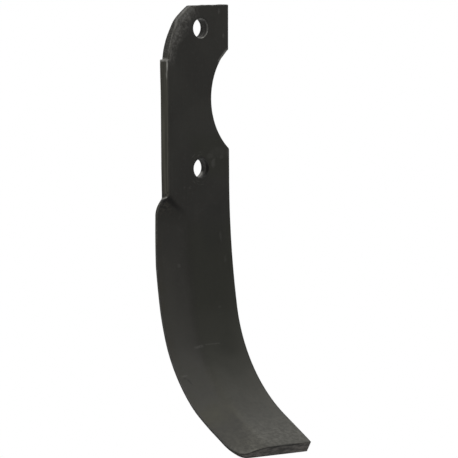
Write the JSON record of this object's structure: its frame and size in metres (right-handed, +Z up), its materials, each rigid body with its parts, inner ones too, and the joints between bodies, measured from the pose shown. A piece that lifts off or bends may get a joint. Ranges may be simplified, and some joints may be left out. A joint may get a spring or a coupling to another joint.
{
  "type": "rotary tiller blade",
  "caption": "Forged steel tiller blade, a flat shank with bolt holes and a rotor-tube notch, bent forward below into a thin-edged hoe that cuts and turns soil.",
  "frame": {"origin": "midway between the bolt holes, on the flat back face that goes against the rotor flange", "axes": "+Z up the shank toward its end above the upper hole, +Y out of the back face along the bolts, +X toward the side with the rotor-tube notch; the blade hangs down and bends toward -Y, with its cutting edge on the -X side"},
  "size_m": [0.0692, 0.1003, 0.3326],
  "materials": {
    "blade_steel": "dark satin forging scale, a little lighter toward the tip"
  },
  "bodies": {
    "root": {"tiller_blade": "blade_steel"}
  },
  "joints": []
}
